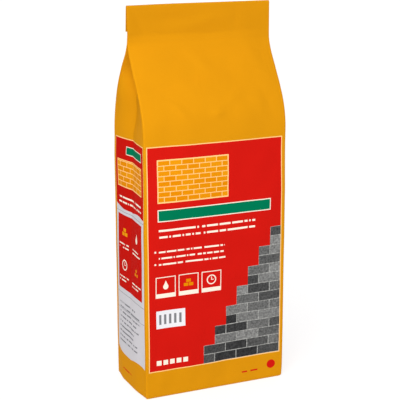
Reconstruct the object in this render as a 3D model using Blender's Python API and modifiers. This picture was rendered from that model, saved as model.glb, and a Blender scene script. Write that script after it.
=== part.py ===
# A small sack of cement that stands on its block bottom. The sack is one glued sheet of laminated paper with
# a gusset down each side. Its top is pinched flat and folded over to the back. The powder lies inside it.
# Metres, +Z up, with the printed front towards -Y and the origin under the middle of the base.
from math import cos, pi, radians, sin, sqrt

import bmesh
import bpy
from mathutils import Vector

WIDTH = 0.150  # across the front, from one side edge to the other
DEPTH = 0.078  # from the front edges to the back edges, at the body
HEIGHT = 0.380  # from the floor to the top of the fold
SHOULDER = 0.255  # height where the front and back begin to close
PINCH = 0.345  # height where they meet in the flat strip
CLOSING_DELAY = 1.15  # over 1, the closing starts later
CLOSING_TAIL = 1.5  # over 1, it ends more softly
FLAP_LENGTH = 0.0255  # from the top of the fold down to the mouth, at the back
FLAP_OPEN = radians(6)  # the flap stands off the strip
STRIP_LEAN = radians(3.5)  # the flat strip leans back
PINCH_SHIFT = -0.0004  # the pinch lies a little in front of the middle

PAPER = 0.00025  # thickness of the sheet
SLIT = 0.00015  # between a panel and the gusset folded against it
NOTCH = 0.0002  # between the two halves of a folded gusset
FLAP_GAP = 0.0004  # between the strip and the flap behind it
CORNER = 0.001  # the body's side edges are cut by this much
GUSSET_SLACK = 0.0001  # each gusset half is wider than half the depth by this much
GUSSET_TAKEN = 0.31  # share of that width that goes into the gusset's outward swell over the powder
FLAT_GUSSET = 0.120  # height where the gusset crease has faded in from the flat base
PANEL_BULGE = 0.0012  # the front and back swell by this much in the middle
GUSSET_BULGE = 0.0009
EDGE_RADIUS = 0.0025  # round the base

FILL_GAP = 0.0005  # between the powder and the sheet
FILL_STEPS = 5  # the powder reaches this many of the shoulder's levels along the sheet
FILL_CROWN = 0.008  # height of the powder's mound above that

STRIP_HALF = 2 * PAPER + SLIT + NOTCH / 2
FOLD_RADIUS = STRIP_HALF + FLAP_GAP / 2  # of the strip's middle
STRIP_TOP = HEIGHT - (FOLD_RADIUS + STRIP_HALF) * cos(STRIP_LEAN) + FOLD_RADIUS * sin(STRIP_LEAN)
PANEL_POINTS = 7
GUSSET_STEPS = 3
SIDE_POINTS = 2 * GUSSET_STEPS + 2
BASE_STEPS = 3
FOLD_STEPS = 6
BODY_LEVELS = (0.030, 0.075, 0.120, 0.165, 0.205, 0.235, SHOULDER)
SHOULDER_STEPS = 12
STRIP_STEPS = 3
FLAP_STEPS = 2
CROWN_STEPS = 4

for old in list(bpy.data.objects):
    bpy.data.objects.remove(old, do_unlink=True)
collection = bpy.data.collections.new("cement_bag")
bpy.context.scene.collection.children.link(collection)


def closing(z):
    # 0 at the full body, 1 where front and back have met
    return min(max((z - SHOULDER) / (PINCH - SHOULDER), 0), 1)


def half_depth(z):
    # full below the shoulder; then it draws in slowly, then fast, and meets the strip without a corner
    return STRIP_HALF + (DEPTH / 2 - STRIP_HALF) * cos(pi / 2 * closing(z) ** CLOSING_DELAY) ** CLOSING_TAIL


def crease_inset(z):
    # a gusset half keeps its width, so its crease moves in as the front and back close. Over the powder the
    # gusset swells outwards instead, and the crease stays shallow
    taken = GUSSET_TAKEN * sin(pi * closing(z) ** 1.4) ** 2
    width = (DEPTH / 2 + GUSSET_SLACK) * (1 - taken)
    return sqrt(max(width**2 - half_depth(z) ** 2, 0)) * min(z / FLAT_GUSSET, 1)


def swelling(z):
    # how far the powder pushes the sheet out, from 0 to 1
    return sin(pi * min(z / PINCH, 1))


def section(z, cut=0.0):
    # the outer face at height z, as points (across, back), anticlockwise from the front left edge; cut
    # draws it in, for the rounded base
    half = half_depth(z) - cut
    side = WIDTH / 2 - cut
    open_share = 1 - closing(z)
    corner = CORNER * open_share
    lip = STRIP_HALF - NOTCH / 2 + (CORNER - STRIP_HALF + NOTCH / 2) * open_share
    crease = max(side - crease_inset(z), 0)
    front = []
    for step in range(PANEL_POINTS):
        across = 2 * step / (PANEL_POINTS - 1) - 1
        bulge = PANEL_BULGE * swelling(z) * (1 - across**2)
        front.append((across * (side - corner), -half - bulge))
    right = []
    for step in range(GUSSET_STEPS + 1):
        share = step / GUSSET_STEPS
        bulge = GUSSET_BULGE * open_share * swelling(z) * sin(pi * share)
        right.append((side + (crease - side) * share + bulge, (lip - half) * (1 - share) - NOTCH / 2 * share))
    right += [(across, -back) for across, back in reversed(right)]
    half_ring = front + right
    return half_ring + [(-across, -back) for across, back in half_ring]


def drawn_in(points, distance):
    # the same outline moved inwards by a distance, its corners kept
    moved = []
    for index, point in enumerate(points):
        here = Vector(point)
        before = (here - Vector(points[index - 1])).normalized()
        after = (Vector(points[(index + 1) % len(points)]) - here).normalized()
        inwards = Vector((-before.y - after.y, before.x + after.x)).normalized()
        moved.append(here + inwards * distance / max(inwards.dot(Vector((-after.y, after.x))), 0.2))
    return moved


def body_levels(floor, shoulder_steps):
    # heights from the floor through the rounded base and up the shoulder, each with its cut
    levels = []
    for step in range(BASE_STEPS + 1):
        angle = pi / 2 * step / BASE_STEPS
        levels.append((floor + EDGE_RADIUS * (1 - cos(angle)), EDGE_RADIUS * (1 - sin(angle))))
    levels += [(z, 0.0) for z in BODY_LEVELS]
    rise = (PINCH - SHOULDER) / SHOULDER_STEPS
    return levels + [(SHOULDER + rise * step, 0.0) for step in range(1, shoulder_steps + 1)]


def strip_stations():
    # places along the middle of the strip: height, offset to the back, and lean, over the fold and down
    stations = []
    length = (STRIP_TOP - PINCH) / cos(STRIP_LEAN)
    for step in range(1, STRIP_STEPS + 1):
        along = length * step / STRIP_STEPS
        stations.append((PINCH + along * cos(STRIP_LEAN), PINCH_SHIFT + along * sin(STRIP_LEAN), STRIP_LEAN))
    foot = Vector((stations[-1][0], stations[-1][1]))
    centre = foot + FOLD_RADIUS * Vector((-sin(STRIP_LEAN), cos(STRIP_LEAN)))
    for step in range(1, FOLD_STEPS + 1):
        lean = STRIP_LEAN + (pi - FLAP_OPEN) * step / FOLD_STEPS
        place = centre + FOLD_RADIUS * Vector((sin(lean), -cos(lean)))
        stations.append((place.x, place.y, lean))
    down = FLAP_LENGTH - FOLD_RADIUS - STRIP_HALF
    for step in range(1, FLAP_STEPS + 1):
        along = down * step / FLAP_STEPS
        stations.append((place.x + along * cos(lean), place.y + along * sin(lean), lean))
    return stations


def close_base(mesh, ring):
    # the flat base: strips from front to back, and a sliver at each side
    front = ring[:PANEL_POINTS]
    right = ring[PANEL_POINTS : PANEL_POINTS + SIDE_POINTS]
    back = ring[PANEL_POINTS + SIDE_POINTS : 2 * PANEL_POINTS + SIDE_POINTS][::-1]
    left = ring[2 * PANEL_POINTS + SIDE_POINTS :]
    mesh.faces.new([back[-1], *right[::-1], front[-1]])
    mesh.faces.new([front[0], *left[::-1], back[0]])
    for step in range(PANEL_POINTS - 1):
        mesh.faces.new((back[step], back[step + 1], front[step + 1], front[step]))


def lofted(rings, peak=None):
    # a wall from ring to ring on a flat base, closed to a peak or left open at the top
    mesh = bmesh.new()
    rows = [[mesh.verts.new(point) for point in ring] for ring in rings]
    close_base(mesh, rows[0])
    if peak:
        rows.append([mesh.verts.new(peak)] * len(rows[0]))
    for lower, upper in zip(rows, rows[1:]):
        for index in range(len(lower)):
            after = (index + 1) % len(lower)
            corners = dict.fromkeys((lower[index], lower[after], upper[after], upper[index]))
            mesh.faces.new(list(corners))
    return mesh


def add_piece(name, mesh, colour, roughness):
    data = bpy.data.meshes.new(name)
    mesh.to_mesh(data)
    mesh.free()
    data.shade_smooth()
    data.set_sharp_from_angle(angle=radians(35))
    piece = bpy.data.objects.new(name, data)
    collection.objects.link(piece)
    material = bpy.data.materials.new(name)
    material.use_nodes = True
    shader = material.node_tree.nodes["Principled BSDF"]
    shader.inputs["Base Color"].default_value = (*colour, 1)
    shader.inputs["Roughness"].default_value = roughness
    shader.inputs["Metallic"].default_value = 0
    data.materials.append(material)
    return piece


def add_sack():
    rings = []
    for z, cut in body_levels(0.0, SHOULDER_STEPS):
        shift = PINCH_SHIFT * closing(z)
        rings.append([(across, back + shift, z) for across, back in section(z, cut)])
    for z, shift, lean in strip_stations():
        outline = section(PINCH)
        rings.append([(across, shift + back * cos(lean), z - back * sin(lean)) for across, back in outline])
    sack = add_piece("sack", lofted(rings), (0.86, 0.37, 0.02), 0.38)
    wall = sack.modifiers.new("paper", "SOLIDIFY")
    wall.thickness = PAPER
    wall.offset = -1
    wall.use_even_offset = True
    wall.use_quality_normals = True


def add_cement_fill():
    floor = PAPER + FILL_GAP
    rings = []
    for z, cut in body_levels(floor, FILL_STEPS):
        outline = drawn_in(section(z, cut), PAPER + FILL_GAP)
        rings.append([(across, back, z) for across, back in outline])
    for step in range(1, CROWN_STEPS):
        angle = pi / 2 * step / CROWN_STEPS
        height = z + FILL_CROWN * sin(angle)
        rings.append([(across * cos(angle), back * cos(angle), height) for across, back in outline])
    peak = (0, 0, z + FILL_CROWN)
    add_piece("cement_fill", lofted(rings, peak), (0.27, 0.265, 0.25), 0.95)


add_sack()
add_cement_fill()
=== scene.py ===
from math import cos, exp, hypot, pi, radians, sin, tan

import bmesh
import bpy
from mathutils import Matrix, Vector, noise


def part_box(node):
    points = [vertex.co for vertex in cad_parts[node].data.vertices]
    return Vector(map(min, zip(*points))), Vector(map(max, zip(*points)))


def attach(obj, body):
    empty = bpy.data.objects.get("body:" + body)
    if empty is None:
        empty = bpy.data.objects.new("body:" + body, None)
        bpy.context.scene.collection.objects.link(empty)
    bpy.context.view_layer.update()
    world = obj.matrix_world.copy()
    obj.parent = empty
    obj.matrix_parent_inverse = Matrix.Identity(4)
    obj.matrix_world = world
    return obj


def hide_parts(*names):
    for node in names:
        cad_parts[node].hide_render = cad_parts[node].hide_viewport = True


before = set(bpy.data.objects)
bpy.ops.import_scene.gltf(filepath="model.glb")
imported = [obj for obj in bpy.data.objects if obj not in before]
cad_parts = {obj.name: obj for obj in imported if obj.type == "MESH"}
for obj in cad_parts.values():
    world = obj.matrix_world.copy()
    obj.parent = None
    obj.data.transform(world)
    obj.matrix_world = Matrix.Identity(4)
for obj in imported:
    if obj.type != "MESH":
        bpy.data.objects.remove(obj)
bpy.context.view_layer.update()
mm = 0.001


class Wire:
    # one socket of a node tree; sums on it add Math nodes
    def __init__(self, tree, socket=None):
        self.tree = tree
        self.socket = socket

    def add(self, kind, settings=None, inputs=None, output=0):
        # any other node: its type, its settings first, then the values or links of its sockets
        node = self.tree.nodes.new(kind)
        for name, value in (settings or {}).items():
            if name == "stops":
                for stop, (place, colour) in zip(node.color_ramp.elements, value):
                    stop.position = place
                    stop.color = colour
            else:
                setattr(node, name, value)
        for name, value in (inputs or {}).items():
            if isinstance(value, Wire):
                self.tree.links.new(value.socket, node.inputs[name])
            else:
                node.inputs[name].default_value = value
        return Wire(self.tree, node.outputs[output] if node.outputs else None)

    def maths(self, operation, *others, clamp=False):
        # a Math node with this value first
        values = dict(enumerate((self, *others)))
        return self.add("ShaderNodeMath", {"operation": operation, "use_clamp": clamp}, values)

    def __add__(self, other):
        return self.maths("ADD", other)

    __radd__ = __add__

    def __sub__(self, other):
        return self.maths("SUBTRACT", other)

    def __rsub__(self, other):
        return self.add("ShaderNodeMath", {"operation": "SUBTRACT"}, {0: other, 1: self})

    def __mul__(self, other):
        return self.maths("MULTIPLY", other)

    __rmul__ = __mul__

    def __truediv__(self, other):
        return self.maths("DIVIDE", other)

    def __mod__(self, other):
        return self.maths("FLOORED_MODULO", other)

    def __abs__(self):
        return self.maths("ABSOLUTE")

    def __or__(self, other):
        return self.maths("MAXIMUM", other)

    def whole(self):
        return self.maths("FLOOR")

    def mask(self, soft):
        # 1 where the value is over 0, with an edge as soft as this
        return self.maths("MULTIPLY_ADD", 1 / soft, 0.5, clamp=True)

    def past(self, limit, soft=0.15):
        return (self - limit).mask(soft)

    def split(self):
        node = self.add("ShaderNodeSeparateXYZ", None, {0: self}).socket.node
        return [Wire(self.tree, socket) for socket in node.outputs]

    def joined(self, y, z=0.0):
        # a vector whose first part is this value
        return self.add("ShaderNodeCombineXYZ", None, {0: self, 1: y, 2: z})

    def lumpy(self, lumps, detail, output=0):
        # noise at this place, with so many lumps in a metre
        inputs = {"Vector": self, "Scale": lumps, "Detail": detail}
        return self.add("ShaderNodeTexNoise", None, inputs, output)

    def chance(self, dimensions):
        # a random value from 0 to 1 for every place
        return self.add("ShaderNodeTexWhiteNoise", {"noise_dimensions": dimensions}, {"Vector": self})


def feed(wire, shader, name):
    wire.tree.links.new(wire.socket, shader.inputs[name])


# Camera, lights and floor

camera = {
    "sensor": 36,  # millimetres
    "lens": 105.1,
    "turn": radians(-24.4),  # round the sack, from square in front
    "rise": radians(13.94),
    "distance": 1162.63 * mm,
    "aim": Vector((0.45 * mm, 0.2 * mm, 185.32 * mm)),
    "nearest": 50 * mm,  # nothing nearer is drawn
}

studio = {
    "paper": (0.25, 0.25, 0.249, 1),  # of the floor
    "paperRoughness": 0.9,
    "glow": 0.76,  # the floor is a lit table
    "reach": 40.0,  # side of the floor, past everything that the camera sees
    "sky": (0.81, 0.17, 0.3),  # light from the horizon, from all round and from overhead
    "horizonSharpness": 12,
    "windows": [  # the bright sides of the room: direction, sharpness, light
        (Vector((-0.37, -0.53, 0.77)).normalized(), 8, 3.45),
        (Vector((0.45, 0.82, 0.35)).normalized(), 5, 0.9),
    ],
    "lamp": (Vector((-0.3, -0.45, 0.55)), 0.24, 1.15),  # place, size, watts
}


def lookingBack(direction):
    # the turn of a camera or lamp that looks against this direction
    back = direction.normalized()
    right = Vector((0, 0, 1)).cross(back).normalized()
    up = back.cross(right)
    return Matrix((right, up, back)).transposed().to_4x4()


def stood(name, data, place, back):
    # a camera or lamp at its place, looking against a direction
    holder = bpy.data.objects.new(name, data)
    holder.matrix_world = Matrix.Translation(place) @ lookingBack(back)
    bpy.context.scene.collection.objects.link(holder)
    return holder


def placeCamera():
    lens = bpy.data.cameras.new("camera")
    lens.sensor_width = camera["sensor"]
    lens.lens = camera["lens"]
    lens.clip_start = camera["nearest"]
    turn, rise = camera["turn"], camera["rise"]
    back = Vector((sin(turn) * cos(rise), -cos(turn) * cos(rise), sin(rise)))
    place = camera["aim"] + back * camera["distance"]
    bpy.context.scene.camera = stood("camera", lens, place, back)


def lightStudio():
    place, size, watts = studio["lamp"]
    lamp = bpy.data.lights.new("keyLight", "AREA")
    lamp.shape = "DISK"
    lamp.size = size
    lamp.energy = watts
    stood("keyLight", lamp, place, place - camera["aim"])
    world = bpy.data.worlds.new("softRoom")
    world.use_nodes = True
    sky = world.node_tree.nodes["Background"]
    sky.inputs["Color"].default_value = (1, 1, 1, 1)
    horizon, even, high = studio["sky"]
    direction = Wire(world.node_tree).add("ShaderNodeTexCoord", output="Generated")
    overhead = direction.split()[2] | 0
    low = 1 - overhead
    light = overhead * overhead * high + low.maths("POWER", studio["horizonSharpness"]) * horizon + even
    for middle, sharpness, strength in studio["windows"]:
        ahead = direction.add("ShaderNodeVectorMath", {"operation": "DOT_PRODUCT"},
                              {0: direction, 1: middle}, output="Value") | 0
        light = light + ahead.maths("POWER", sharpness) * strength
    feed(light, sky, "Strength")
    bpy.context.scene.world = world
    bpy.context.scene.view_settings.view_transform = "Standard"


def keptMesh(name, shape):
    # a bmesh becomes an object with its place in its mesh
    data = bpy.data.meshes.new(name)
    shape.to_mesh(data)
    shape.free()
    piece = bpy.data.objects.new(name, data)
    bpy.context.scene.collection.objects.link(piece)
    return piece


def layFloor():
    shape = bmesh.new()
    bmesh.ops.create_grid(shape, x_segments=1, y_segments=1, size=studio["reach"] / 2)
    floor = keptMesh("floor", shape)
    paper = bpy.data.materials.new("floorPaper")
    paper.use_nodes = True
    shader = paper.node_tree.nodes["Principled BSDF"]
    shader.inputs["Base Color"].default_value = studio["paper"]
    shader.inputs["Roughness"].default_value = studio["paperRoughness"]
    shader.inputs["Emission Color"].default_value = (1, 1, 1, 1)
    shader.inputs["Emission Strength"].default_value = studio["glow"]
    floor.data.materials.append(paper)


placeCamera()
lightStudio()
layFloor()
print("camera, lamps and floor are in place")

# The shape of the sack

sackLow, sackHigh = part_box("sack")

sack = {
    "width": sackHigh.x - sackLow.x,
    "height": sackHigh.z,
    "depth": 78 * mm,  # from the front edges to the back edges
    "shoulder": 255 * mm,  # the front and back begin to close here
    "pinch": 345 * mm,  # and meet here
    "closingDelay": 1.15,  # over 1, the closing starts later
    "closingTail": 1.5,  # over 1, it ends more softly
    "pinchShift": -0.4 * mm,  # the pinch lies a little in front of the middle
    "stripHalf": 0.75 * mm,  # half the thickness of the four plies in the flat strip
    "stripLean": radians(-1.8),  # the strip leans a little to the front
    "bend": 8 * mm,  # it starts to lean this far under the pinch, and leans fully as far over it
    "foldRadius": 0.95 * mm,  # of the middle of the plies, over the top
    "flapLength": 25.5 * mm,  # from the top down to the mouth, at the back
    "flapOpen": radians(6),  # the flap stands off the strip
    "ply": 0.2 * mm,
    "edgeRadius": 1.6 * mm,  # of the four upright folds
    "stripEdge": 0.3 * mm,  # the same folds where the strip is flat
    "baseRadius": 2.5 * mm,
    "creaseTop": 0.15 * mm,  # half the width of the gusset's valley, in the strip
    "creaseShoulder": 1.2 * mm,  # the same at the shoulder
    "creaseBase": 9 * mm,  # and at the floor, where it is almost flat
    "creaseInset": 5.4 * mm,  # how deep the valley is at the shoulder
    "creaseFades": 55 * mm,  # height where it has come out to nothing
    "bulge": 1.2 * mm,  # the powder swells the front and back
    "gussetBulge": 0.9 * mm,
    "groove": 0.45 * mm,  # depth of a shallow groove down each gusset, beside its upright folds
    "groovePlace": 0.055,  # share of the way from the fold to the valley
    "grooveWidth": 0.03,
    "gussetTaken": 0.37,  # share of the gusset's width that its swell over the powder takes up
    "lapEdge": 12 * mm,  # the glued lap on the back ends this far from the middle
    "lapWidth": 14 * mm,
    "lapRise": 0.35 * mm,
    "baseLap": 7 * mm,  # the edge of the folded flap under the sack
    "baseLift": 0.35 * mm,
    "sharpest": radians(38),  # a fold sharper than this isn't shaded smooth
}

handling = {  # how this one sack has settled, in millimetres and degrees
    "fullness": 1.3,  # the front and back swell by this much more
    "mound": 0.9,  # and by this much over the powder's mound
    "shelf": 1.6,  # the front swells by this much just under the strip
    "footBulge": 1.9,  # each gusset stands out by this much near the floor
    "backSwell": 3.2,  # and its back half by this much over the shoulder
    "bellySwell": 1.2,  # and by this much lower down
    "rightSide": 0.7,  # the right gusset is a little fuller below
    "slack": 1.3,  # the back's shoulder is drawn in
    "curl": 1.9,  # the strip's left end curls forwards
    "leftLean": 0.9,  # the top of the strip lies this far to the left
    "footLift": 0.6,  # the back left corner of the base stands off the floor
    "dents": [  # on the front: across, up, length, width, turn, height
        (-60, 328, 20, 10, 0, 1.5),
        (-6, 327, 13, 6, -40, 1.6),
        (-16, 313, 16, 7, 8, -1.4),
        (-38, 285, 11, 2.6, -45, 1.5),
        (-44, 293, 10, 3, -40, -0.7),
        (1, 279, 6, 4, 0, 1.4),
        (-28, 366, 20, 6, 0, -0.9),
        (37.4, 364, 11, 1.8, 86, -0.7),
        (28, 312, 20, 9, -30, -1.2),
        (52, 330, 16, 8, -60, 1.2),
        (-52, 303, 16, 3, 4, -0.9),
        (20, 292, 14, 4, 30, 0.9),
        (56, 286, 12, 5, -70, -0.9),
        (4, 362, 24, 5, 12, 0.6),
        (-64, 362, 14, 5, -58, -0.9),
    ],
}

sackSteps = {
    "panel": 25,  # across half the front
    "corner": 5,  # round an upright fold
    "gusset": 14,  # across half a gusset
    "fold": 10,  # over the top
    "base": 5,  # round the lower edge
    "rise": 3 * mm,
    "rises": {"body": 1, "shoulder": 0.7, "bend": 0.4, "strip": 0.8},  # shares of that
}
quarterSheet = sack["width"] / 2 + sack["depth"] / 2  # flat, from the front's middle to a gusset's valley


def eased(low, high, value):
    # from 0 at the low value to 1 at the high one, without a corner
    share = min(max((value - low) / (high - low), 0), 1)
    return share * share * (3 - 2 * share)


def closingAt(z):
    # 0 at the full body, 1 where the front and back have met
    return min(max((z - sack["shoulder"]) / (sack["pinch"] - sack["shoulder"]), 0), 1)


def halfDepthAt(z):
    # the front draws in slowly over the powder, then fast, and meets the strip without a corner
    full = sack["depth"] / 2 - sack["stripHalf"]
    share = cos(pi / 2 * closingAt(z) ** sack["closingDelay"]) ** sack["closingTail"]
    return sack["stripHalf"] + full * share


def swollenAt(z):
    # where the gusset is pushed out over the powder, so that its valley stays shallow
    return sin(pi * closingAt(z) ** 1.5) ** 2


def openShare(half):
    # 1 at the full body, 0 in the flat strip
    return (half - sack["stripHalf"]) / (sack["depth"] / 2 - sack["stripHalf"])


def edgeRadiusAt(half):
    return sack["stripEdge"] + (sack["edgeRadius"] - sack["stripEdge"]) * min(1, 4 * openShare(half))


def creaseHalfAt(z, half):
    if z > sack["shoulder"]:
        return sack["creaseTop"] + (sack["creaseShoulder"] - sack["creaseTop"]) * openShare(half) ** 1.5
    return sack["creaseBase"] + (sack["creaseShoulder"] - sack["creaseBase"]) * z / sack["shoulder"]


def halved(low, high, tooSmall):
    # the value between two limits where a test stops being true
    for _ in range(40):
        middle = (low + high) / 2
        if tooSmall(middle):
            low = middle
        else:
            high = middle
    return (low + high) / 2


class Gusset:
    # one half of a folded gusset, seen from above: an edge arc, a straight run and the valley's arc.
    # lean is the angle that it is turned through, from flat at the side to folded against the front
    def __init__(self, z, half, length=None):
        self.half = half
        self.edge = edgeRadiusAt(half)
        self.crease = creaseHalfAt(z, half)
        if length is None:
            fade = (z - sack["creaseFades"]) / (sack["shoulder"] - sack["creaseFades"])
            inset = sack["creaseInset"] * max(fade, 0.001) ** 1.5
            self.lean = halved(0.0001, 0.5, lambda lean: self.insetAt(lean) < inset)
            self.straight = self.straightAt(self.lean)
        else:
            target = half - self.edge
            self.lean = halved(0.001, pi / 2, lambda lean: self.depthAt(lean, length) > target)
            self.straight = length - self.arcs(self.lean) * self.lean
        self.radius = self.crease / sin(self.lean)
        self.run = self.straight + self.radius * self.lean  # from the edge arc's end to the valley
        self.length = self.run + self.edge * self.lean

    def arcs(self, lean):
        return self.edge + self.crease / sin(lean)

    def straightAt(self, lean):
        return (self.half - self.edge - self.arcs(lean) * sin(lean)) / cos(lean)

    def insetAt(self, lean):
        return self.straightAt(lean) * sin(lean) + self.arcs(lean) * (1 - cos(lean))

    def depthAt(self, lean, length):
        return (length - self.arcs(lean) * lean) * cos(lean) + self.arcs(lean) * sin(lean)

    def point(self, side, along):
        # a place on the straight run or the valley's arc, by its distance from the edge arc
        out = Vector((cos(self.lean), sin(self.lean)))
        edgeEnd = Vector((side - self.edge, self.edge - self.half)) + out * self.edge
        ran = Vector((-out.y, out.x)) * min(along, self.straight)
        if along <= self.straight:
            return edgeEnd + ran
        centre = edgeEnd + ran + out * self.radius
        angle = self.lean - (along - self.straight) / self.radius
        return centre - Vector((cos(angle), sin(angle))) * self.radius


paperGusset = Gusset(sack["shoulder"], sack["depth"] / 2).length  # the paper's width, from the shoulder up


def panelShares():
    # across half the front: even steps, and two close ones at the lap's edge and at the upright fold
    lap = round(sack["lapEdge"] / sack["width"] * 2 * sackSteps["panel"])
    shares = [step / sackSteps["panel"] for step in range(sackSteps["panel"] + 1)]
    shares.insert(lap + 1, shares[lap] + 0.3 * mm / sack["width"] * 2)
    shares.insert(-1, 1 - 1.2 * mm / sack["width"] * 2)
    return shares, lap


def gussetShares():
    # across a gusset half: close steps in the groove beside the upright fold, and in the valley
    steps = sackSteps["gusset"]
    groove = [0.02, 0.04, 0.06, 0.085, 0.11]
    valley = [0.975, 0.99, 0.995, 1]
    return groove + [step / steps for step in range(2, steps)] + valley


def quarter(z, half, cut):
    # the outer face from the middle of the front to the right gusset's valley: across, back, and the place
    # on the flat sheet, which the print follows
    side = sack["width"] / 2 - cut
    length = paperGusset * (1 - sack["gussetTaken"] * swollenAt(z)) if z > sack["shoulder"] else None
    gusset = Gusset(z, half - cut, length)
    flatSide = sack["width"] / 2
    flatGusset = sack["depth"] / 2
    swell = sin(pi * min(z / sack["pinch"], 1))
    points = []
    for share in panelShares()[0]:
        across = share * (side - gusset.edge)
        back = cut - half - sack["bulge"] * swell * (1 - (across / side) ** 2)
        points.append((across, back, share * (flatSide - sack["edgeRadius"])))
    for step in range(1, sackSteps["corner"] + 1):
        share = step / sackSteps["corner"]
        angle = (pi / 2 + gusset.lean) * share - pi / 2
        across = side - gusset.edge + gusset.edge * cos(angle)
        back = cut - half + gusset.edge + gusset.edge * sin(angle)
        points.append((across, back, flatSide - sack["edgeRadius"] * (1 - 2 * share)))
    gussetStart = flatSide + sack["edgeRadius"]
    belly = sack["gussetBulge"] * openShare(half) * swell
    for share in gussetShares():
        place = gusset.point(side, share * gusset.run)
        off = (share - sack["groovePlace"]) / sack["grooveWidth"]
        groove = sack["groove"] * exp(-(off**2)) * min(openShare(half) * 2, 1)
        across = place.x + belly * sin(pi * share) - groove
        points.append((across, place.y, gussetStart + share * (flatGusset - sack["edgeRadius"])))
    return points


def lapAt(x, z):
    # the sheet's two ends overlap down the back: a crisp edge on one side, a soft step on the other
    end = sack["lapEdge"] - sack["lapWidth"]
    fade = 1 - eased(sack["pinch"] - 15 * mm, sack["pinch"], z)
    return sack["lapRise"] * fade * eased(end - 3 * mm, end, x) * (x < sack["lapEdge"])


def ringAt(z, half, cut=0.0):
    # the whole outline, anticlockwise from the lap's edge on the back, with the place on the flat sheet
    frontRight = quarter(z, half, cut)
    frontLeft = [(-x, y, -u) for x, y, u in frontRight[::-1]]
    backLeft = [(-x, -y, u - 2 * quarterSheet) for x, y, u in frontRight]
    backRight = [(x, -y, 2 * quarterSheet - u) for x, y, u in frontRight[::-1]]
    ring = backLeft[:-1] + frontLeft[:-1] + frontRight[:-1] + backRight[:-1]
    lap = panelShares()[1]
    underLap = [(x, y, u - 4 * quarterSheet) for x, y, u in ring[-lap:]]
    return [(x, y + lapAt(x, z) * (y > 0), u) for x, y, u in underLap + ring[:-lap]]


def stripTop():
    # height of the middle of the plies where the fold begins
    lean, radius = sack["stripLean"], sack["foldRadius"]
    return sack["height"] - (radius + sack["stripHalf"]) * cos(lean) + radius * sin(lean)


def riseAt(z):
    # from one ring to the next
    stretch = "strip"
    if z < sack["shoulder"]:
        stretch = "body"
    elif z < sack["pinch"] - sack["bend"]:
        stretch = "shoulder"
    elif z < sack["pinch"] + 10 * mm:
        stretch = "bend"
    return sackSteps["rise"] * sackSteps["rises"][stretch]


def stationsUp():
    # heights up the body and the shoulder, each with its cut of the rounded base
    stations = []
    for step in range(sackSteps["base"] + 1):
        angle = pi / 2 * step / sackSteps["base"]
        stations.append((sack["baseRadius"] * (1 - cos(angle)), sack["baseRadius"] * (1 - sin(angle))))
    z = stations[-1][0]
    while z < stripTop() - 0.1 * mm:
        z = min(z + riseAt(z), stripTop())
        stations.append((z, 0.0))
    return stations


def inPlace(ring, z, shift, lean, along):
    # a ring at its height, shifted to the back and leaning, with the height on the flat sheet
    return [((x, shift + y * cos(lean), z - y * sin(lean)), (u, along)) for x, y, u in ring]


def outerRings():
    # every ring of the outer face, in place: up the body and the strip, over the fold, and down the flap
    rings = []
    shift = 0.0
    lean = 0.0
    along = 0.0
    before = None
    for z, cut in stationsUp():
        half = halfDepthAt(z)
        if before:
            shift += tan(lean) * (z - before[0])
            along += hypot(z - before[0], half - before[1])
        lean = sack["stripLean"] * eased(sack["pinch"] - sack["bend"], sack["pinch"] + sack["bend"], z)
        rings.append(inPlace(ringAt(z, half, cut), z, sack["pinchShift"] * closingAt(z) + shift, lean, along))
        before = (z, half)
    foot = Vector((sack["pinchShift"] + shift, z))
    centre = foot + sack["foldRadius"] * Vector((cos(lean), -sin(lean)))
    outline = ringAt(z, sack["stripHalf"])
    stripLean = lean
    for step in range(1, sackSteps["fold"] + 1):
        lean = stripLean + (pi - sack["flapOpen"]) * step / sackSteps["fold"]
        along += sack["foldRadius"] * (pi - sack["flapOpen"]) / sackSteps["fold"]
        place = centre + sack["foldRadius"] * Vector((-cos(lean), sin(lean)))
        rings.append(inPlace(outline, place.y, place.x, lean, along))
    down = sack["flapLength"] - sack["foldRadius"] - sack["stripHalf"]
    steps = round(down / sackSteps["rise"])
    for step in range(1, steps + 1):
        run = down * step / steps
        z = place.y + run * cos(lean)
        rings.append(inPlace(outline, z, place.x + run * sin(lean), lean, along + run))
    return rings


def drift(seed, across, up):
    # smooth noise from about -0.5 to 0.5
    return noise.noise(Vector((across, up, seed)))


def footLift(x, y):
    return handling["footLift"] * eased(60, 75, -x) * eased(16, 38, y)


def dented(x, z):
    # soft dents and folds that handling has left in the front
    height = 0
    for across, up, length, width, turn, rise in handling["dents"]:
        a, b = x - across, z - up
        along = (a * cos(radians(turn)) + b * sin(radians(turn))) / length
        beside = (b * cos(radians(turn)) - a * sin(radians(turn))) / width
        if abs(along) < 2.5 and abs(beside) < 2.5:
            height += rise * exp(-along * along - beside * beside)
    return height


def panelSwell(x, z, front, full, grounded):
    # how far the front or the back stands out: swells from the powder, upright ripples low down, and soft
    # slanting folds over the shoulder
    loose = 1 - 0.8 * eased(60, 75, abs(x))
    swells = 1.3 * drift(1.7 + 5 * front, x / 55, z / 70) + 0.8 * drift(4.1 + 5 * front, x / 20, z / 26)
    ripples = 0.22 * drift(7.3 + 3 * front, x / 6.5, z / 60) * (1 - eased(60, 95, z))
    slants = 0.6 * drift(9.2 + 4 * front, (x + 0.6 * z) / 21, (z - 0.4 * x) / 40)
    slants *= eased(258, 290, z) * full
    mound = handling["mound"] * eased(262, 282, z) * (1 - eased(286, 306, z)) * (1 - (x / 75) ** 2)
    slack = handling["slack"] * eased(225, 255, z) * (1 - eased(270, 310, z)) * (1 - front)
    fullness = handling["fullness"] * (1 - ((x + 15) / 90) ** 2) * eased(10, 60, z) * (1 - eased(270, 330, z))
    return (swells + ripples + slants) * loose * full * grounded + mound - slack + fullness


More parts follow.
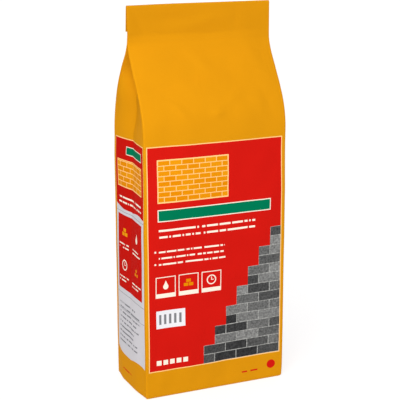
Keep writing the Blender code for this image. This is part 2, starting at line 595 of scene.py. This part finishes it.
def underStrip(x, y, z):
    # the soft edge where the front leaves the strip
    rim = 352 + 4 * drift(21.4, x / 26, 0)  # its height
    below = min(max((rim - z) / 9, 0), 1) ** 0.8
    return handling["shelf"] * below * eased(290, 335, z) * max(1 - (x / 75) ** 4, 0) * eased(0.3, 0.7, -y)


def gussetSwell(x, y, z, full, grounded):
    # how far a gusset stands out: soft swells, a bulge at its foot, and the powder behind its back half
    seed = 6 * (x > 0)
    swells = 0.8 * drift(15.1 + seed, y / 30, z / 60) + 0.35 * drift(18.6 + seed, y / 12, z / 22)
    swells *= 1 - 0.75 * eased(26, 39, abs(y))
    foot = handling["footBulge"] * (1 - eased(40, 95, z)) * eased(-38, -12, y) * (1 - eased(18, 38.5, y))
    foot *= eased(60, 74, abs(x))
    reach = sin(pi * min(max(y * mm / halfDepthAt(z * mm), 0), 1))
    behind = handling["backSwell"] * sin(pi * closingAt(z * mm) ** 1.35) ** 2 * reach
    behind += handling["bellySwell"] * reach * eased(170, 240, z) * (1 - eased(300, 335, z))
    return eased(30, 75, abs(x)) * (swells * full * grounded + foot) + behind * eased(50, 62, abs(x))


def settled(point):
    # the sheet is never flat. Plies that lie together move together
    x, y, z = (value / mm for value in point)
    front = eased(-12, 12, -y)
    full = 1 - eased(325, 348, z)
    grounded = eased(0, 14, z)
    out = panelSwell(x, z, front, full, grounded)
    dents = dented(x, z)
    wave = 0.9 * drift(12.5, x / 38, z / 150) * eased(300, 350, z) - dents * (1 - full)
    wave -= handling["curl"] * eased(46, 76, -x) * eased(340, 356, z)
    dy = wave - underStrip(x, y, z) - (out + dents * full) * front + out * (1 - front)
    dx = gussetSwell(x, y, z, full, grounded)
    if x > 0:
        dx += handling["rightSide"] * eased(30, 75, x) * (1 - eased(195, 245, z)) * grounded
    else:
        dx = 0.1 * eased(40, 75, -x) * eased(330, 352, z) - dx  # the strip's left end is drawn in
    dx -= handling["leftLean"] * max(z - 345, 0) / 35
    dz = footLift(x, y) * (1 - eased(12, 90, z)) - (0.1 + 0.4 * eased(20, 75, -x)) * eased(360, 378, z)
    return Vector((x + dx, y + dy, z + dz)) * mm


def baseGrid(shape, ring):
    # the flat base is a grid inside the lowest ring. Its far half is a flap that tucks under the near one
    shares, lap = panelShares()
    across = 2 * len(shares) - 1  # points along the front, and along the back
    deep = 2 * (sackSteps["corner"] + len(gussetShares())) + 1  # points down each side
    rim = ring + ring
    leftStart = lap + len(shares) - 1  # the back left end of the panel, in the ring
    frontStart = leftStart + deep - 1
    rightStart = frontStart + across - 1
    backStart = rightStart + deep - 1
    left = rim[leftStart : leftStart + deep][::-1]
    front = rim[frontStart : frontStart + across]
    right = rim[rightStart : rightStart + deep]
    back = rim[backStart : backStart + across][::-1]
    rows = [front]
    for row in range(1, deep - 1):
        y = left[row].co.y  # the flap fades out towards the back and the sides
        flap = eased(sack["baseLap"], sack["baseLap"] + 1.5 * mm, y) * (1 - eased(24 * mm, 33 * mm, y))
        inner = []
        for column in range(1, across - 1):
            x = front[column].co.x
            lift = sack["baseLift"] * flap * (1 - eased(58 * mm, 68 * mm, abs(x)))
            inner.append(shape.verts.new((x, y, lift + footLift(x / mm, y / mm) * mm)))
        rows.append([left[row]] + inner + [right[row]])
    rows.append(back)
    for near, far in zip(rows, rows[1:]):
        for column in range(across - 1):
            shape.faces.new((near[column], far[column], far[column + 1], near[column + 1]))


def makeSack():
    rings = outerRings()
    shape = bmesh.new()
    layer = shape.loops.layers.uv.new("print")
    rows = [[shape.verts.new(settled(point)) for point, _ in ring] for ring in rings]
    baseGrid(shape, rows[0])
    for face in shape.faces:
        for corner in face.loops:
            corner[layer].uv = (corner.vert.co.x, charts["baseMark"])
    count = len(rows[0])
    for lower in range(len(rows) - 1):
        for column in range(count):
            places = [(lower, column), (lower, column + 1), (lower + 1, column + 1), (lower + 1, column)]
            face = shape.faces.new([rows[row][at % count] for row, at in places])
            for corner, (row, at) in zip(face.loops, places):
                u, v = rings[row][at % count][1]
                corner[layer].uv = (u + 4 * quarterSheet * (at == count), v)
    piece = keptMesh("printed_sack", shape)
    piece.data.materials.append(bpy.data.materials.new("printedFilm"))  # outside
    piece.data.materials.append(bpy.data.materials.new("plainPaper"))  # inside, and on the cut rim
    wall = piece.modifiers.new("ply", "SOLIDIFY")
    wall.thickness = sack["ply"]
    wall.offset = -1
    wall.material_offset = 1
    wall.material_offset_rim = 1
    return piece


def shaded(piece, angle):
    piece.data.shade_smooth()
    piece.data.set_sharp_from_angle(angle=angle)
    return piece


def madePlain(piece):
    # the modifiers' result becomes the piece's own mesh
    graph = bpy.context.evaluated_depsgraph_get()
    data = bpy.data.meshes.new_from_object(piece.evaluated_get(graph))
    piece.modifiers.clear()
    piece.data = data
    return piece


charts = {  # for a painted copy: left and lower texel, and millimetres in one texel
    "texels": 1024,  # across the square copy
    "panels": [  # with where each ends across the flat sheet, in millimetres
        (-153, 570, 8, 0.62),  # back
        (-75, 376, 8, 0.42),  # left gusset
        (75, 8, 8, 0.42),  # front
        (153, 832, 8, 0.62),  # right gusset
        (300, 720, 8, 0.62),  # back, under the lap
    ],
    "inside": (570, 684, 1.28),
    "bases": [(944, 684, 1.5), (944, 800, 1.5)],  # outside, inside
    "rim": (570, 1012, 1.28),
    "rimTexels": 5,  # the rim's width
    "baseMark": -20 * mm,  # height on the flat sheet that marks the base's faces
}


def chartOf(face, skins, onBase, across, sheetStart):
    # the chart of one face, and where on the sheet the chart begins. The outer skin's faces come first, then
    # as many of the inner skin, and the mouth's rim last
    if face.index >= 2 * skins:
        return charts["rim"], sheetStart
    inner = face.index >= skins
    if onBase:
        return charts["bases"][inner], 0
    if inner:
        return charts["inside"], sheetStart
    begin = sheetStart
    for end, left, low, texel in charts["panels"]:
        if across < end:
            break
        begin = end
    return (left, low, texel), begin


def spreadOut(piece, skins):
    # every face of the sack has a place of its own on one square sheet, the front and left gusset the largest
    data = piece.data
    flat = [0.0] * len(data.loops) * 2
    data.uv_layers["print"].data.foreach_get("uv", flat)
    outerPoints = len(data.vertices) // 2
    sheetStart = min(flat[::2]) / mm
    places = [0.0] * len(flat)
    for face in data.polygons:
        across = sum(flat[2 * corner] for corner in face.loop_indices) / face.loop_total / mm
        onBase = flat[2 * face.loop_start + 1] < charts["baseMark"] / 2
        (left, low, texel), begin = chartOf(face, skins, onBase, across, sheetStart)
        for corner in face.loop_indices:
            u = flat[2 * corner] / mm
            v = flat[2 * corner + 1] / mm
            point = data.loops[corner].vertex_index
            if face.index >= 2 * skins:
                x, y = left + (u - begin) / texel, low + charts["rimTexels"] * (point >= outerPoints)
            elif onBase:
                place = data.vertices[point].co
                x = left + (place.y + sack["depth"] / 2) / mm / texel
                y = low + (place.x + sack["width"] / 2) / mm / texel
            else:
                x, y = left + (u - begin) / texel, low + v / texel
            places[2 * corner] = x / charts["texels"]
            places[2 * corner + 1] = y / charts["texels"]
    data.uv_layers.new(name="OFBake").data.foreach_set("uv", places)
    return piece


printedSack = makeSack()
skinFaces = len(printedSack.data.polygons)
printedSack = shaded(spreadOut(madePlain(printedSack), skinFaces), sack["sharpest"])
sheetTop = max(corner.uv.y for corner in printedSack.data.uv_layers["print"].data) / mm
print("the sack is shaped:", len(printedSack.data.polygons), "faces")

# The powder

powder = {
    "gap": 0.75 * mm,  # from the sack's outer face to the powder
    "top": 284 * mm,  # height of the powder along the sheet
    "crown": 9 * mm,  # height of its mound above that
    "crownSteps": 6,
    "peak": 0.4 * mm,  # from the mound's last ring to its middle
    "sharpest": radians(60),
    "lumpy": {  # the inputs of the tree that roughens it
        "Hollow depth": 0.5 * mm,
        "Lumps in a metre": 140.0,
        "Clods in a square metre": 26000.0,
        "Clod size": 1.5 * mm,
        "Lowest clod": 288.5 * mm,
        "Seed": 3,
    },
}


def drawnIn(outline, distance):
    # the same outline moved inwards
    moved = []
    for index, here in enumerate(outline):
        before = (here - outline[index - 1]).normalized()
        after = (outline[(index + 1) % len(outline)] - here).normalized()
        inwards = Vector((-before.y - after.y, before.x + after.x)).normalized()
        moved.append(here + inwards * distance)
    return moved


def powderRings():
    # every second ring of the sack, drawn in, and then the mound over the last of them
    rings = []
    gap, top = powder["gap"], powder["top"]
    for z, cut in [station for station in stationsUp() if station[0] < top][::2]:
        outline = [Vector((x, y)) for x, y, _ in ringAt(z, halfDepthAt(z), cut)[::2]]
        height = z * (1 - gap / top) + gap
        rings.append([settled(Vector((place.x, place.y, height))) for place in drawnIn(outline, gap)])
    rim = rings[-1]
    for step in range(1, powder["crownSteps"]):
        angle = pi / 2 * step / powder["crownSteps"]
        share, rise = cos(angle), powder["crown"] * sin(angle)
        rings.append([Vector((place.x * share, place.y * share, place.z + rise)) for place in rim])
    return rings


def makePowder():
    shape = bmesh.new()
    rings = powderRings()
    rows = [[shape.verts.new(point) for point in ring] for ring in rings]
    count = len(rows[0])
    for lower, upper in zip(rows, rows[1:]):
        for column in range(count):
            after = (column + 1) % count
            shape.faces.new((lower[column], lower[after], upper[after], upper[column]))
    peak = shape.verts.new(Vector((0, 0, rings[-1][0].z + powder["peak"])))
    for column in range(count):
        shape.faces.new((rows[-1][column], rows[-1][(column + 1) % count], peak))
    shape.faces.new(rows[0][::-1])
    return keptMesh("cement_powder", shape)


def lumpyTree(material):
    # hollows between soft lumps all over, and small clods strewn on the top of the mound
    group = bpy.data.node_groups.new("lumpyPowder", "GeometryNodeTree")
    group.interface.new_socket("Powder", in_out="INPUT", socket_type="NodeSocketGeometry")
    for name, value in powder["lumpy"].items():
        kind = "NodeSocketInt" if name == "Seed" else "NodeSocketFloat"
        group.interface.new_socket(name, in_out="INPUT", socket_type=kind).default_value = value
    group.interface.new_socket("Powder", in_out="OUTPUT", socket_type="NodeSocketGeometry")
    tree = Wire(group)
    given = {socket.name: Wire(group, socket) for socket in tree.add("NodeGroupInput").socket.node.outputs}
    lumps = tree.add("ShaderNodeTexNoise", None, {"Scale": given["Lumps in a metre"], "Detail": 2.0})
    inwards = tree.add("ShaderNodeVectorMath", {"operation": "SCALE"},
                       {0: tree.add("GeometryNodeInputNormal"), 3: lumps * given["Hollow depth"] * -1})
    rough = tree.add("GeometryNodeSetPosition", None, {"Geometry": given["Powder"], "Offset": inwards})
    height = tree.add("GeometryNodeInputPosition").split()[2]
    onTop = tree.add("FunctionNodeCompare", {"operation": "GREATER_THAN"},
                     {0: height, 1: given["Lowest clod"]})
    points = tree.add("GeometryNodeDistributePointsOnFaces", None, {
        "Mesh": rough, "Selection": onTop, "Seed": given["Seed"],
        "Density": given["Clods in a square metre"]})
    clod = tree.add("GeometryNodeMeshIcoSphere", None,
                    {"Radius": given["Clod size"] * 0.5, "Subdivisions": 2})
    turned = tree.add("FunctionNodeRandomValue", {"data_type": "FLOAT_VECTOR"},
                      {0: (0, 0, 0), 1: (6.3, 6.3, 6.3), 8: given["Seed"]})
    sized = tree.add("FunctionNodeRandomValue", {"data_type": "FLOAT_VECTOR"},
                     {0: (0.3, 0.3, 0.3), 1: (1, 1, 0.8), 8: given["Seed"] + 1})
    clods = tree.add("GeometryNodeInstanceOnPoints", None,
                     {"Points": points, "Instance": clod, "Rotation": turned, "Scale": sized})
    heap = tree.add("GeometryNodeJoinGeometry", None, {"Geometry": rough})
    group.links.new(clods.socket, heap.socket.node.inputs["Geometry"])
    real = tree.add("GeometryNodeRealizeInstances", None, {"Geometry": heap})
    dusted = tree.add("GeometryNodeSetMaterial", None, {"Geometry": real, "Material": material})
    tree.add("NodeGroupOutput", None, {"Powder": dusted})
    return group


def roughened(piece, material):
    lumps = piece.modifiers.new("lumps", "NODES")
    lumps.node_group = lumpyTree(material)
    for socket in lumps.node_group.interface.items_tree:
        if socket.name in powder["lumpy"]:
            lumps[socket.identifier] = powder["lumpy"][socket.name]
    return madePlain(piece)


cementPowder = makePowder()
print("the powder is heaped:", len(cementPowder.data.polygons), "faces")

# Materials


def seen(red, green, blue):
    # a colour as it looks on a screen, made linear
    return [(value / 255) ** 2.2 for value in (red, green, blue)] + [1]


def opened(material):
    # a material's shader, and the place on its piece that its patterns read
    material.use_nodes = True
    place = Wire(material.node_tree).add("ShaderNodeTexCoord", output="Object")
    return material.node_tree.nodes["Principled BSDF"], place


def toned(value, dark, pale):
    # from one colour to another over the middle of some noise
    return value.add("ShaderNodeValToRGB", {"stops": [(0.3, dark), (0.7, pale)]}, {0: value})


def bumped(height, shader, strength, distance):
    inputs = {"Strength": strength, "Distance": distance, "Height": height}
    feed(height.add("ShaderNodeBump", None, inputs), shader, "Normal")


def darkened(colour, share):
    # a colour times a value
    settings = {"data_type": "RGBA", "blend_type": "MULTIPLY"}
    return colour.add("ShaderNodeMix", settings, {0: 1.0, 6: colour, 7: share.joined(share, share)}, output=2)


inks = {
    "yellow": seen(206, 137, 22),
    "red": seen(196, 30, 24),
    # the same red ink, painted darker for the left gusset: painted shade
    "sideRed": seen(186, 27, 20),
    "keyline": seen(246, 196, 128),
    "cream": seen(238, 226, 208),
    "green": seen(6, 112, 78),
    "ochre": seen(214, 128, 12),
    "brickInk": seen(222, 144, 22),
    "darkBlock": seen(46, 46, 48),
    "paleBlock": seen(150, 150, 148),
    "mortar": seen(176, 176, 172),
    "label": seen(224, 222, 226),
    # the label's grey, painted darker for the left gusset: painted shade
    "sideLabel": seen(197, 194, 198),
    "grey": seen(120, 120, 124),
    "rawEdge": seen(214, 190, 148),  # where the paper is cut
}

# Places in the print are millimetres on the flat sheet, across and up from the floor. A box is its left,
# right, bottom and top. A block of dashes is its left, right, bottom, number of rows, pitch of the rows,
# height of a dash, width of one mark in it and seed.

frontPlaces = {  # across from the front's middle
    "shift": 0.75,  # the print lies this far to the left on the sheet
    "lean": 0.002,  # and this much more for every millimetre up
    "panel": (-70.3, 71.0, 28.4, 250.8),
    "plaque": (-60.0, 12.0, 198.0, 238.0),
    "bar": (-60.0, 58.0, 180.0, 190.0),
    "dashes": [(-60, 60, 163, 2, 6.5, 2.0, 1.7, 3.0), (-60, 22, 136, 3, 6.2, 1.7, 1.4, 8.0)],
    "bullets": [(-64.5, -62.8, 136.4, 138.1), (-64.5, -62.8, 148.8, 150.5)],
    "signs": [(-53.0, "drop", "cream"), (-29.0, "bricks", "ochre"), (-5.0, "clock", "cream")],
    "signBox": (-9.6, 9.6, 104, 123.5),  # across from a sign's middle
    "signFoot": (-9.6, 9.6, 104, 107.4),  # the box's filled foot
    "signLine": 0.8,
    "signHeight": 115.5,
    "signSize": 5.0,
    "label": (-63, -33, 72, 90),
    "gauge": (-60, -36, 76, 86),
    "gaugeBars": (5.2, 2.4),  # from bar to bar, and the width of one
    "pips": (-63, -29, 34, 39),
    "pipSizes": (7.0, 5.0),
    "footDashes": (30, 56, 11, 1, 4, 1.6, 1.8, 4.0),
    "footSpot": (62.5, 15.5, 4.6),  # across, up, radius
    "block": (24.0, 9.5, 0.8),  # length, course, joint
    "courses": 14,  # of blocks
    "stairs": (-13.0, 12.0),  # where the blocks' stepped edge starts, and how far it goes back at each step
    "stairCourses": 2,  # courses in a step
}

sidePlaces = {  # across from the left gusset's middle
    "middle": -113.2,
    "panel": (-34.2, 34.2, 180, 250.6),
    "line": 0.7,
    "bar": (-12, 29, 236, 243),
    "plaque": (-29, 29, 203, 229),
    "dashes": (-28, 30, 186, 2, 5, 1.7, 1.6, 5.0),
    "label": (-34.2, 34.2, 29.5, 180),
    "labelHump": (19, 16, 2.2),  # the label's foot isn't straight: across, half the width, rise
    "labelCorner": (-12, 23, 4.6),  # where its left end starts to rise, how far on it ends, rise
    "redBox": (-30, 30, 98, 174.2),
    "signs": [  # across, up, kind, ink
        (-15, 157, "bricks", "brickInk"),
        (15, 157, "drop", "cream"),
        (-15, 123, "clock", "cream"),
        (15, 123, "grains", "brickInk"),
    ],
    "signSize": 5.5,
    "caption": (-12, 14, -17, 2, 3.6, 1.4, 1.5),  # dashes under a sign, from its middle
    "rules": [(-34, 34, 92.6, 93.1), (-34, 34, 176.9, 177.3), (-34, 34, 76, 76.4)],
    "rows": (-27, 30, 42, 9, 5, 1.6, 1.5, 2.0),
    "footDashes": (-20, 5, 13, 1, 4, 1.4, 1.6, 1.0),
}

plainPlaces = {  # across from the middle of the right gusset, or of the back
    "gussetPanel": (-33, 33, 28.4, 250.6),
    "backPanel": (-70.3, 70.3, 28.4, 250.8),
    "backLabel": (-56, 56, 96, 186),
    "cutEdge": (-241, -239.3),  # of the sheet, down the back; across from the front's middle
    "mouthEdge": 0.6,  # width of the cut edge round the mouth
}

plaqueBrick = (12.0, 5.0, 0.7)  # length, course, joint


def band(value, low, high, soft=0.15):
    # a mask: 1 between two values
    return ((high - low) / 2 - abs(value - (low + high) / 2)).mask(soft)


def shifted(places, across, up=0):
    # a box or a block of dashes, moved along the sheet, and a block upwards too
    left, right, bottom, *rest = places
    return left + across, right + across, bottom + up, *rest


class Sheet:
    # a place on the flat sheet and the colour printed there so far. Boxes and dashes give masks, whose places
    # are across from a middle
    def __init__(self, u, v, colour, middle=0):
        self.u = u
        self.v = v
        self.colour = colour
        self.middle = middle

    def box(self, edges):
        left, right, bottom, top = edges
        return band(self.u, self.middle + left, self.middle + right) * band(self.v, bottom, top)

    def disc(self, across, up, radius):
        dx = self.u - (self.middle + across)
        dy = self.v - up
        return 1 - (dx * dx + dy * dy).maths("SQRT").past(radius)

    def bars(self, edges, sizes):
        # upright bars side by side in a box
        pitch, width = sizes
        return band((self.u - (self.middle + edges[0])) % pitch, 0, width) * self.box(edges)

    def dashes(self, left, right, bottom, rows, pitch, height, width, seed):
        # rows of short dashes, ragged at their right end. A dash is a few marks side by side
        end = self.middle + right
        row = ((self.v - bottom) / pitch).whole()
        within = (self.v - bottom) - row * pitch
        mark = (self.u / width).whole()
        marks = mark.joined(row, seed).chance("3D").past(0.2, 0.01)  # one in five is a gap
        short = row.joined(seed).chance("2D") * (right - left) * 0.35  # how much shorter this row is
        inRows = band(within, 0, height) * band(self.v, bottom, bottom + rows * pitch - 0.5)
        return marks * inRows * self.u.past(self.middle + left) * (1 - (self.u + short).past(end))

    def brickwork(self, left, bottom, size, colours):
        length, course, joint = size
        one, other, mortar = (inks[name] for name in colours)
        settings = {"offset": 0.5, "offset_frequency": 2, "squash": 1.0, "squash_frequency": 2}
        return self.u.add("ShaderNodeTexBrick", settings, {
            "Vector": (self.u - (self.middle + left)).joined(self.v - bottom),
            "Color1": one, "Color2": other, "Mortar": mortar, "Bias": 0.0, "Scale": 1.0,
            "Mortar Size": joint / 2, "Mortar Smooth": 0.1, "Brick Width": length, "Row Height": course})

    def sign(self, kind, across, up, size):
        # a plain sign: a drop, three bricks, a clock or three round grains
        if kind == "drop":
            cone = 1 - (abs(self.u - (self.middle + across)) / 0.46).past(up + size - self.v)
            bulb = self.disc(across, up - size * 0.25, size * 0.55)
            return bulb | cone * band(self.v, up, up + size)
        if kind == "bricks":
            gap = 0.3  # half the joint
            low, high = up - size * 0.7, up + size * 0.7
            left = self.box((across - size, across - gap, low, up - gap))
            right = self.box((across + gap, across + size, low, up - gap))
            return left | right | self.box((across - size / 2, across + size / 2, up + gap, high))
        if kind == "clock":
            half = 0.4  # of a hand's width
            rim = self.disc(across, up, size) - self.disc(across, up, size * 0.78)
            minutes = self.box((across - half, across + half, up - half, up + size * 0.6))
            return rim | minutes | self.box((across - half, across + size * 0.45, up - half, up + half))
        grains = self.disc(across, up + size * 0.45, size * 0.3)
        for aside in (-0.5, 0.5):
            grains = grains | self.disc(across + size * aside, up - size * 0.3, size * 0.3)
        return grains

    def paint(self, mask, ink):
        # an ink by its name, or a pattern, where the mask is 1
        colour = ink if isinstance(ink, Wire) else inks[ink]
        inputs = {0: mask, 6: self.colour, 7: colour}
        self.colour = mask.add("ShaderNodeMix", {"data_type": "RGBA"}, inputs, output=2)

    def lineBox(self, edges, ink, line="keyline", width=0.9):
        # a filled box with a pale line round it
        left, right, bottom, top = edges
        self.paint(self.box((left - width, right + width, bottom - width, top + width)), line)
        self.paint(self.box(edges), ink)

    def plaque(self, edges, width=0.9):
        # a box of brickwork
        bricks = self.brickwork(edges[0], edges[2], plaqueBrick, ("ochre", "brickInk", "keyline"))
        self.lineBox(edges, bricks, width=width)


def blockStairs(sheet, speckle):
    # a wall of grey blocks whose left edge goes up in steps
    _, right, bottom, _ = frontPlaces["panel"]
    start, back = frontPlaces["stairs"]
    course = frontPlaces["block"][1]
    blocks = sheet.brickwork(start, bottom, frontPlaces["block"], ("darkBlock", "paleBlock", "mortar"))
    edge = ((sheet.v - bottom) / (frontPlaces["stairCourses"] * course)).whole() * back + start
    top = bottom + frontPlaces["courses"] * course
    sheet.paint(sheet.u.past(edge) * sheet.box((start - 1, right, bottom, top)), darkened(blocks, speckle))


def frontPrint(u, v, colour, speckle):
    sheet = Sheet(v * frontPlaces["lean"] + u + frontPlaces["shift"], v, colour)
    sheet.lineBox(frontPlaces["panel"], "red")
    blockStairs(sheet, speckle)
    sheet.plaque(frontPlaces["plaque"])
    sheet.lineBox(frontPlaces["bar"], "green", "cream")
    for block in frontPlaces["dashes"]:
        sheet.paint(sheet.dashes(*block), "cream")
    for edges in frontPlaces["bullets"]:
        sheet.paint(sheet.box(edges), "cream")
    for across, kind, ink in frontPlaces["signs"]:
        sheet.lineBox(shifted(frontPlaces["signBox"], across), "red", "cream", frontPlaces["signLine"])
        sheet.paint(sheet.box(shifted(frontPlaces["signFoot"], across)), "cream")
        sheet.paint(sheet.sign(kind, across, frontPlaces["signHeight"], frontPlaces["signSize"]), ink)
    sheet.paint(sheet.box(frontPlaces["label"]), "label")
    sheet.paint(sheet.bars(frontPlaces["gauge"], frontPlaces["gaugeBars"]), "grey")
    sheet.paint(sheet.bars(frontPlaces["pips"], frontPlaces["pipSizes"]), "cream")
    sheet.paint(sheet.dashes(*frontPlaces["footDashes"]) | sheet.disc(*frontPlaces["footSpot"]), "red")
    return sheet.colour


def sideLabel(sheet):
    # the pale label down the gusset, with its uneven foot
    hump, half, rise = sidePlaces["labelHump"]
    off = (sheet.u - (sheet.middle + hump)) / half
    raised = sheet.v - ((1 - off * off) | 0) * rise
    corner, reach, rise = sidePlaces["labelCorner"]
    off = (sheet.middle + corner - sheet.u) / reach | 0
    return Sheet(sheet.u, raised - off * off * rise, None, sheet.middle).box(sidePlaces["label"])


def sidePrint(u, v, colour):
    sheet = Sheet(u, v, colour, sidePlaces["middle"])
    # the left gusset's red and label are painted darker than the same inks elsewhere: painted shade
    sheet.lineBox(sidePlaces["panel"], "sideRed")
    sheet.lineBox(sidePlaces["bar"], "green", "cream", sidePlaces["line"])
    sheet.plaque(sidePlaces["plaque"], sidePlaces["line"])
    sheet.paint(sheet.dashes(*sidePlaces["dashes"]), "cream")
    sheet.paint(sideLabel(sheet), "sideLabel")
    sheet.paint(sheet.box(sidePlaces["redBox"]), "sideRed")
    for across, up, kind, ink in sidePlaces["signs"]:
        sheet.paint(sheet.sign(kind, across, up, sidePlaces["signSize"]), ink)
        caption = shifted(sidePlaces["caption"], across, up)
        sheet.paint(sheet.dashes(*caption, up + across), "cream")
    small = sheet.dashes(*sidePlaces["rows"])
    for rule in sidePlaces["rules"]:
        small = small | sheet.box(rule)
    sheet.paint(small, "grey")
    sheet.paint(sheet.dashes(*sidePlaces["footDashes"]), "red")
    return sheet.colour


def plainPrint(u, v, colour):
    # the right gusset and the back: bare red panels, a bare label, and the sheet's cut edges
    gusset = quarterSheet / mm  # its middle
    right = Sheet(u, v, colour, gusset)
    right.lineBox(plainPlaces["gussetPanel"], "red")
    back = Sheet(u % (4 * gusset), v, right.colour, 2 * gusset)
    back.lineBox(plainPlaces["backPanel"], "red")
    back.paint(back.box(plainPlaces["backLabel"]), "label")
    cut = band(u, *plainPlaces["cutEdge"]) | v.past(sheetTop - plainPlaces["mouthEdge"])
    back.paint(cut, "rawEdge")
    return back.colour


film = {
    "patches": (26.0, 3.0),  # in a metre, and their detail
    "grain": (700.0, 2.0),
    "grit": (520.0, 4.0),  # in the print of the blocks
    "gritContrast": 1.6,
    "gritMiddle": 0.75,
    "mottle": (0.95, 0.07, 0.03),  # brightness at least, and what the patches and the grain add
    "paintedStripShade": 360,  # painted shade: the strip is drawn a little darker from this height on the sheet
    "paintedStripShadeDepth": (0.04, -0.0004),  # by this much in the middle, and less for every millimetre to the right
    "roughness": (0.34, 0.16),  # at least, and what the patches add
    "relief": (0.25, 0.02),  # of the patches and of the grain, in millimetres
    "bump": (0.35, 1 * mm),  # strength, distance
    "reflection": 0.002,  # the specular level
}

creases = {  # fine sharp ones, where the sheet was bent
    "inMetre": 34.0,
    "sharpness": 9,
    "waves": (30.0, 2.0),  # noise that bends them: lumps in a metre, detail
    "bend": 14 * mm,
    "patches": (17.0, 1.0),  # where they are: lumps in a metre, detail
    "bare": 0.52,  # share of the sheet without them
    "shoulder": (285, 362),  # heights on the sheet between which they are
    "foot": 14,  # and up to this height
    "fold": 6,  # and this far on each side of an upright fold
    "foldShare": 0.6,
    "height": 0.3,
    "stripFold": (70.4, 71.0),  # an upright fold near the strip's right end
    "stripFoldFoot": 368,
    "stripFoldHeight": 0.4,
}


def creased(place, u, v):
    # the height of the creases over the shoulder, along the upright folds and at the foot
    waves = place.lumpy(*creases["waves"], output="Color")
    bend = place.add("ShaderNodeVectorMath", {"operation": "SCALE"}, {0: waves, 3: creases["bend"]})
    bent = place.add("ShaderNodeVectorMath", {"operation": "ADD"}, {0: place, 1: bend})
    cells = place.add("ShaderNodeTexVoronoi", {"feature": "DISTANCE_TO_EDGE"},
                      {"Vector": bent, "Scale": creases["inMetre"]})
    lines = 1 - (cells * creases["sharpness"]).maths("SMOOTH_MIN", 1.0, 0.5)
    low, high = creases["shoulder"]
    shoulder = v.past(low, 50) * (1 - v.past(high, 12))
    foot = 1 - v.past(creases["foot"], 24)
    fold = 1 - abs(abs(u) - sack["width"] / 2 / mm).past(creases["fold"], 10)
    held = place.lumpy(*creases["patches"]).past(creases["bare"], 0.12)
    held = held * (shoulder | foot | fold * creases["foldShare"])
    left, right = creases["stripFold"]
    stripFold = band(u, left, right, 0.5) * v.past(creases["stripFoldFoot"], 4)
    return lines * held * creases["height"] + stripFold * creases["stripFoldHeight"]


def printedFilm(material):
    shader, place = opened(material)
    sheet = place.add("ShaderNodeUVMap", {"uv_map": "print"})
    u, v, _ = place.add("ShaderNodeVectorMath", {"operation": "SCALE"}, {0: sheet, 3: 1 / mm}).split()
    patches = place.lumpy(*film["patches"])
    grain = place.lumpy(*film["grain"])
    speckle = (place.lumpy(*film["grit"]) - 0.5) * film["gritContrast"] + film["gritMiddle"]
    colour = frontPrint(u, v, inks["yellow"], speckle)
    colour = sidePrint(u, v, colour)
    colour = plainPrint(u, v, colour)
    # painted shade: the colour over the strip is darkened, more at its left end than its right
    dark, less = film["paintedStripShadeDepth"]
    paintedStripShade = v.past(film["paintedStripShade"], 4) * (u * less + dark)
    least, patchy, grainy = film["mottle"]
    feed(darkened(colour, patches * patchy + grain * grainy + least - paintedStripShade), shader, "Base Color")
    least, patchy = film["roughness"]
    feed(patches * patchy + least, shader, "Roughness")
    patchy, grainy = film["relief"]
    bumped(grain * grainy + patches * patchy + creased(place, u, v), shader, *film["bump"])
    shader.inputs["Specular IOR Level"].default_value = film["reflection"]


innerPaper = {
    "roughness": 0.85,
    "fibres": (900.0, 3.0),  # in a metre, and their detail
    "dark": seen(196, 172, 136),
    "pale": seen(216, 196, 164),
    "bump": (0.3, 0.1 * mm),  # strength, distance
}


def plainPaper(material):
    shader, place = opened(material)
    shader.inputs["Roughness"].default_value = innerPaper["roughness"]
    fibres = place.lumpy(*innerPaper["fibres"])
    feed(toned(fibres, innerPaper["dark"], innerPaper["pale"]), shader, "Base Color")
    bumped(fibres, shader, *innerPaper["bump"])


dust = {
    "roughness": 0.95,
    "patches": (60.0, 6.0),  # in a metre, and their detail
    "dark": seen(118, 117, 112),
    "pale": seen(154, 152, 146),
    "grains": (800.0, 4.0),
    "bump": (0.6, 0.3 * mm),  # strength, distance
}


def greyPowder(material):
    shader, place = opened(material)
    shader.inputs["Roughness"].default_value = dust["roughness"]
    feed(toned(place.lumpy(*dust["patches"]), dust["dark"], dust["pale"]), shader, "Base Color")
    bumped(place.lumpy(*dust["grains"]), shader, *dust["bump"])
    return material


outside, inside = printedSack.data.materials
printedFilm(outside)
print("the film is printed:", len(outside.node_tree.nodes), "nodes")
plainPaper(inside)
powderDust = greyPowder(bpy.data.materials.new("greyPowder"))
cementPowder = shaded(roughened(cementPowder, powderDust), powder["sharpest"])
print("the powder is roughened:", len(cementPowder.data.polygons), "faces")

# Standing in for the frame's nodes

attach(printedSack, "root")
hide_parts("sack")
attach(cementPowder, "root")
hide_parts("cement_fill")
